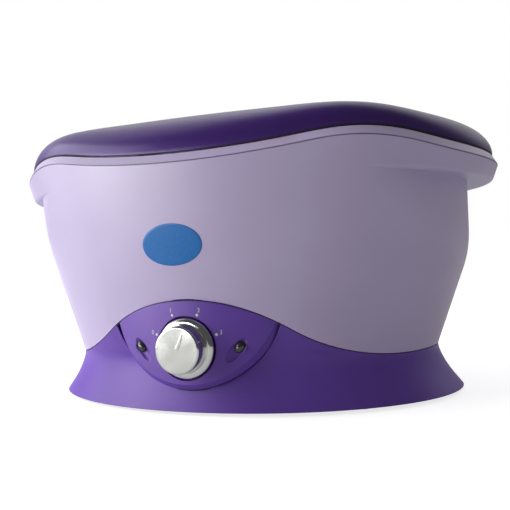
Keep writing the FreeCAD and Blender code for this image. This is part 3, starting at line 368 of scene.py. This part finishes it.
def plated_steel(name):
    """Zinc plate: pale grey with faint straw and blue spangle."""
    look = Look(name, Metallic=1.0)
    spangle = look.noise(scale=260.0, detail=5.0)
    look.colours(spangle, [(0.3, ZINC_BLUE), (0.5, ZINC_GREY), (0.7, ZINC_STRAW)])
    look.roughness(spangle, low=0.26, high=0.4)
    look.soft_edges(radius=0.0003)
    look.relief(look.noise(scale=1800.0, detail=2.0), strength=0.1, depth=0.00004)
    return look.material


def foil(name):
    """Crinkled aluminium foil of the film heater."""
    look = Look(name, Metallic=1.0)
    creases = look.noise(scale=130.0, detail=6.0)
    look.colours(creases, [(0.3, FOIL_DARK), (0.6, FOIL_BRIGHT)])
    look.roughness(creases, low=0.22, high=0.4)
    look.relief(creases, strength=0.5, depth=0.0006)
    return look.material


def felt(name, colour):
    """Needled fibre pad."""
    look = Look(name, Specular_IOR_Level=0.1)
    fibres = look.noise(scale=900.0, detail=8.0, stretch=(1, 0.3, 1))
    look.colours(fibres, [(0.3, shade(colour, 0.75)), (0.55, colour), (0.8, shade(colour, 1.12))])
    look.roughness(fibres, low=0.9, high=1.0)
    look.relief(fibres, strength=0.8, depth=0.0008)
    return look.material


def rubber(name, colour):
    """Dull rubber with a powdery bloom."""
    look = Look(name, Specular_IOR_Level=0.3)
    bloom = look.noise(scale=60.0, detail=6.0)
    look.colours(bloom, [(0.35, colour), (0.75, shade(colour, 1.5))])
    look.roughness(bloom, low=0.62, high=0.8)
    look.soft_edges(radius=0.0004)
    look.relief(look.noise(scale=1600.0, detail=3.0), strength=0.2, depth=0.0001)
    return look.material


def dark_lens(name, colour):
    """Smoked lamp lens with cloudy depth under a clear skin."""
    look = Look(name, Specular_IOR_Level=0.6, Coat_Weight=0.6, Coat_Roughness=0.03)
    clouds = look.noise(scale=240.0, detail=3.0)
    look.colours(clouds, [(0.3, shade(colour, 0.7)), (0.6, colour), (0.8, shade(colour, 1.4))])
    look.roughness(clouds, low=0.08, high=0.16)
    look.relief(look.noise(scale=700.0, detail=2.0), strength=0.08, depth=0.0001)
    return look.material


def lamp_glass(name):
    """Small neon lamp: clear glass with a warm tint."""
    look = Look(name, Transmission_Weight=0.85, IOR=1.5)
    streaks = look.noise(scale=300.0, detail=3.0)
    look.colours(streaks, [(0.3, NEON_DEEP), (0.7, NEON_PALE)])
    look.roughness(streaks, low=0.02, high=0.08)
    return look.material


def print_ink(name, colour):
    """Pad-printed ink, slightly uneven where it wets the plastic."""
    look = Look(name, Specular_IOR_Level=0.4)
    wetting = look.noise(scale=1400.0, detail=3.0)
    look.colours(wetting, [(0.3, shade(colour, 0.86)), (0.6, colour)])
    look.roughness(wetting, low=0.38, high=0.5)
    return look.material


def sticker_vinyl(name, colour):
    """Printed vinyl label: fine halftone grain under a semi-gloss film."""
    look = Look(name, Specular_IOR_Level=0.3)
    grain = look.noise(scale=700.0, detail=4.0)
    look.colours(grain, [(0.3, shade(colour, 0.9)), (0.55, colour), (0.8, shade(colour, 1.1))])
    look.roughness(look.noise(scale=180.0, detail=3.0), low=0.3, high=0.4)
    look.relief(look.noise(scale=240.0, detail=2.0), strength=0.04, depth=0.0002)
    return look.material


finishes = {
    "lavender_plastic": moulded_plastic("lavender_moulding", LAVENDER, rough=0.4, coat=0.35),
    "purple_plastic": moulded_plastic("purple_moulding", PURPLE, rough=0.4, sheen_tint=PURPLE_SHEEN),
    "smoked_plastic": pearl_lacquer("lid_pearl", LID_PURPLE),
    "tank_metal": drawn_metal("tank_aluminium", TANK_GREY, rough=0.32, stretch=(1, 1, 0.05)),
    "seal_rubber": rubber("seal_rubber_dark", SEAL_BLACK),
    "grate_plastic": moulded_plastic("grate_moulding", GRATE_PALE, rough=0.42),
    "heater_foil": foil("heater_foil_crinkled"),
    "felt": felt("needled_felt", FELT_GREY),
    "plated_steel": plated_steel("zinc_steel"),
    "black_plastic": moulded_plastic("black_moulding", CASE_BLACK, rough=0.45, grain=0.2),
    "lens_plastic": dark_lens("smoked_lens", LENS_SMOKE),
    "lamp_glass": lamp_glass("neon_glass"),
    "knob_chrome": satin_chrome("knob_satin_chrome", CHROME),
    "white_plastic": moulded_plastic("nylon_white", NYLON_PALE, rough=0.5),
}


def dress_nodes():
    """Every CAD node takes the finish of its material slot."""
    for node in nodes.values():
        for slot in node.material_slots:
            slot.material = finishes[slot.material.name.split(".")[0]]


# Pieces that only the eye needs: blank label, dark lines of painted shade round panel and lid, rim groove
# floor darkened with painted shade, dial marks

# Rays run backward from a place in front of the pot; where one meets nothing, the depth is far behind it
IN_FRONT = -1.0
FAR_BEHIND = 1.0
BACKWARD = Vector((0, 1, 0))


def surface_of(node):
    mesh = node.data
    mesh.calc_loop_triangles()
    corners = [vertex.co.copy() for vertex in mesh.vertices]
    return BVHTree.FromPolygons(corners, [tuple(triangle.vertices) for triangle in mesh.loop_triangles])


def cast_from_front(surface, x, z):
    """The first point of a surface, and its normal, that is seen from the front at x and z."""
    place, normal, _, _ = surface.ray_cast(Vector((x, IN_FRONT, z)), BACKWARD)
    return place, normal


def on_front(surface, x, z, lift):
    """The point on a front surface at x and z, lifted off it along its normal."""
    place, normal = cast_from_front(surface, x, z)
    if normal.y > 0:
        normal = -normal
    return place + normal * lift


def last_inside(low, high, fineness, inside):
    """How far from low to high inside(value) stays true, found by halving."""
    while high - low > fineness:
        middle = (low + high) / 2
        if inside(middle):
            low = middle
        else:
            high = middle
    return low


def full_turn(steps):
    return [2 * math.pi * step / steps for step in range(steps)]


def closed_band(sections):
    """A band that closes on itself, and its rows of corners: one row for each section's points."""
    builder = bmesh.new()
    rows = [[builder.verts.new(point) for point in section] for section in sections]
    for row, after in zip(rows, rows[1:] + rows[:1]):
        for step in range(len(row) - 1):
            builder.faces.new((row[step], after[step], after[step + 1], row[step + 1]))
    return builder, rows


def oval_patch(surface, centre, half_size, profile, sides):
    """A patch on a front surface; its profile, from rim to middle, lists (share of the size, lift)."""
    sections = []
    for angle in full_turn(sides):
        across = half_size[0] * math.cos(angle)
        upward = half_size[1] * math.sin(angle)
        sections.append([
            on_front(surface, centre[0] + across * share, centre[1] + upward * share, lift)
            for share, lift in profile
        ])
    builder, rows = closed_band(sections)
    middle_lift = profile[-1][1]
    middle = builder.verts.new(on_front(surface, *centre, middle_lift))
    for row, after in zip(rows, rows[1:] + rows[:1]):
        builder.faces.new((row[-1], after[-1], middle))
    return builder


def add_piece(name, builder, material, body):
    mesh = bpy.data.meshes.new(name)
    builder.to_mesh(mesh)
    builder.free()
    for face in mesh.polygons:
        face.use_smooth = True
    mesh.materials.append(material)
    piece = bpy.data.objects.new(name, mesh)
    bpy.context.collection.objects.link(piece)
    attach(piece, body)


LABEL_CENTRE = (-0.0061, 0.1101)
LABEL_HALF = (0.02145, 0.01345)
LABEL_LIFT = 0.0003
LABEL_EDGE = [(1.0, -0.0001), (0.998, 0.00022), (0.985, LABEL_LIFT)]
LABEL_PROFILE = LABEL_EDGE + [(share, LABEL_LIFT) for share in (0.9, 0.7, 0.4)]
LABEL_SIDES = 72


def add_label():
    surface = surface_of(nodes["body_shell"])
    patch = oval_patch(surface, LABEL_CENTRE, LABEL_HALF, LABEL_PROFILE, LABEL_SIDES)
    add_piece("oval_label", patch, sticker_vinyl("label_blue", LABEL_BLUE), "casing")


DIAL_CENTRE = (0.0, 0.0437)


def dial_point(turn, out):
    """The x and z of a point out from the dial's centre, turned clockwise from straight up."""
    return DIAL_CENTRE[0] + out * math.sin(turn), DIAL_CENTRE[1] + out * math.cos(turn)


PANEL_EDGE_RANGE = (0.02, 0.08)
PANEL_EDGE_FINENESS = 0.00005
STRIP_TURNS = 144
STRIP_WIDTH = 0.0013
STRIP_LAP = 0.0001
STRIP_SINK = 0.0003
STRIP_PROBE = 0.003


def add_gap_strip():
    """A thin black strip of painted shade in the gap round the control panel, just below the faces beside
    the gap.
    """
    panel = surface_of(nodes["control_panel"])
    neighbours = [surface_of(nodes["base_skirt"]), surface_of(nodes["body_shell"])]

    def depth(surface, x, z):
        place = cast_from_front(surface, x, z)[0]
        return place.y if place else FAR_BEHIND

    def depth_beside(x, z):
        return min(depth(surface, x, z) for surface in neighbours)

    def section(turn):
        def on_panel(out):
            x, z = dial_point(turn, out)
            return depth(panel, x, z) < depth_beside(x, z)

        edge = last_inside(*PANEL_EDGE_RANGE, PANEL_EDGE_FINENESS, on_panel)
        level = depth_beside(*dial_point(turn, edge + STRIP_PROBE)) + STRIP_SINK
        spots = [dial_point(turn, out) for out in (edge + STRIP_WIDTH, edge - STRIP_LAP)]
        return [(x, level, z) for x, z in spots]

    band, _ = closed_band([section(turn) for turn in full_turn(STRIP_TURNS)])
    # The strip's black is painted shade for the shadow in the gap
    add_piece("panel_gap_shade_strip", band, rubber("gap_shade_rubber", GAP_SHADE_BLACK), "casing")


SEAM_TURNS = 240
SEAM_REACH = 0.3
SEAM_FINENESS = 0.00002


def radius_of(surface, outward, height):
    """How far a surface reaches out from the pot's axis at a height."""
    start = outward * SEAM_REACH + Vector((0, 0, height))
    place = surface.ray_cast(start, -outward)[0]
    return place.xy.length if place else 0.0


class Seam:
    """The line round the pot where the outermost surface changes from a lower node to an upper one."""

    def __init__(self, lower, upper, height_range):
        self.lower = surface_of(nodes[lower])
        self.upper = surface_of(nodes[upper])
        self.height_range = height_range

    def height(self, outward):
        def below_seam(height):
            return radius_of(self.lower, outward, height) > radius_of(self.upper, outward, height)

        return last_inside(*self.height_range, SEAM_FINENESS, below_seam)

    def band(self, section):
        """A band along the seam; section(outward, height) lists (radius, height) from its lower edge up."""
        sections = []
        for turn in full_turn(SEAM_TURNS):
            outward = Vector((math.cos(turn), math.sin(turn), 0))
            points = section(outward, self.height(outward))
            sections.append([outward * radius + Vector((0, 0, height)) for radius, height in points])
        return closed_band(sections)[0]


LID_SEAM_RANGE = (0.15, 0.2)
LID_LINE_GAP = 0.0001
LID_LINE_HEIGHT = 0.0013
LID_LINE_STEPS = 5
LID_LINE_LIFT = 0.00008


def add_lid_line():
    """A thin black band of painted shade along the lid's lower edge, seen as a thin dark line above the
    rim.
    """
    seam = Seam("rim_ring", "lid", LID_SEAM_RANGE)
    rises = [LID_LINE_HEIGHT * step / LID_LINE_STEPS for step in range(LID_LINE_STEPS + 1)]

    def section(outward, height):
        heights = [height + LID_LINE_GAP + rise for rise in rises]
        return [(radius_of(seam.upper, outward, level) + LID_LINE_LIFT, level) for level in heights]

    # The band's black is painted shade for the shadow line under the lid
    add_piece("lid_edge_shade_line", seam.band(section), rubber("edge_shade_rubber", EDGE_SHADE_BLACK), "cover")


GROOVE_SEAM_RANGE = (0.13, 0.19)
GROOVE_LAP = 0.0005
GROOVE_WIDTH = 0.0012
GROOVE_DEPTH = 0.0005
# Painted shade: how much darker the groove floor is coloured than the wall
GROOVE_PAINTED_SHADE = 0.45


def add_rim_groove():
    """The shallow floor of the groove between the wall and the rim, coloured darker as painted shade."""
    seam = Seam("body_shell", "rim_ring", GROOVE_SEAM_RANGE)

    def section(outward, height):
        radius = radius_of(seam.lower, outward, height - GROOVE_LAP) - GROOVE_DEPTH
        return [(radius, height - GROOVE_LAP), (radius, height + GROOVE_WIDTH)]

    # The groove floor is lavender darkened as painted shade
    moulding = moulded_plastic("groove_painted_shade", shade(LAVENDER, GROOVE_PAINTED_SHADE), rough=0.5)
    add_piece("rim_groove_floor", seam.band(section), moulding, "casing")


DIAL_ANGLES = (-67.5, -22.5, 22.5, 67.5)
INK_LIFT = 0.00008
DOT_RING = 0.0229
DOT_HALF = (0.00095, 0.00095)
DOT_PROFILE = [(1.0, -0.00005), (0.96, INK_LIFT), (0.5, INK_LIFT)]
DOT_SIDES = 24
DIGIT_RING = 0.0261
DIGIT_HEIGHT = 0.0027
DIGIT_SHARE_OF_FONT = 0.7


def add_digit(text, surface, centre, ink):
    """A plain number, laid on the panel's curved face."""
    curve = bpy.data.curves.new("digit", "FONT")
    curve.body = text
    curve.size = DIGIT_HEIGHT / DIGIT_SHARE_OF_FONT
    curve.align_x = "CENTER"
    curve.align_y = "CENTER"
    shape = bpy.data.objects.new("digit", curve)
    bpy.context.collection.objects.link(shape)
    bpy.context.view_layer.update()
    flat = bpy.data.meshes.new_from_object(shape)
    bpy.data.objects.remove(shape)
    builder = bmesh.new()
    builder.from_mesh(flat)
    for vertex in builder.verts:
        vertex.co = on_front(surface, centre[0] + vertex.co.x, centre[1] + vertex.co.y, INK_LIFT)
    add_piece("dial_number_" + text, builder, ink, "casing")


def add_dial_marks():
    surface = surface_of(nodes["control_panel"])
    ink = print_ink("dial_ink", INK_PALE)
    for step, angle in enumerate(DIAL_ANGLES):
        turn = math.radians(angle)
        dot = oval_patch(surface, dial_point(turn, DOT_RING), DOT_HALF, DOT_PROFILE, DOT_SIDES)
        add_piece("dial_dot_" + str(step), dot, ink, "casing")
        add_digit(str(step), surface, dial_point(turn, DIGIT_RING), ink)


add_camera()
add_world()
add_floor()
add_lamps()
dress_nodes()
add_label()
add_gap_strip()
add_lid_line()
add_rim_groove()
add_dial_marks()
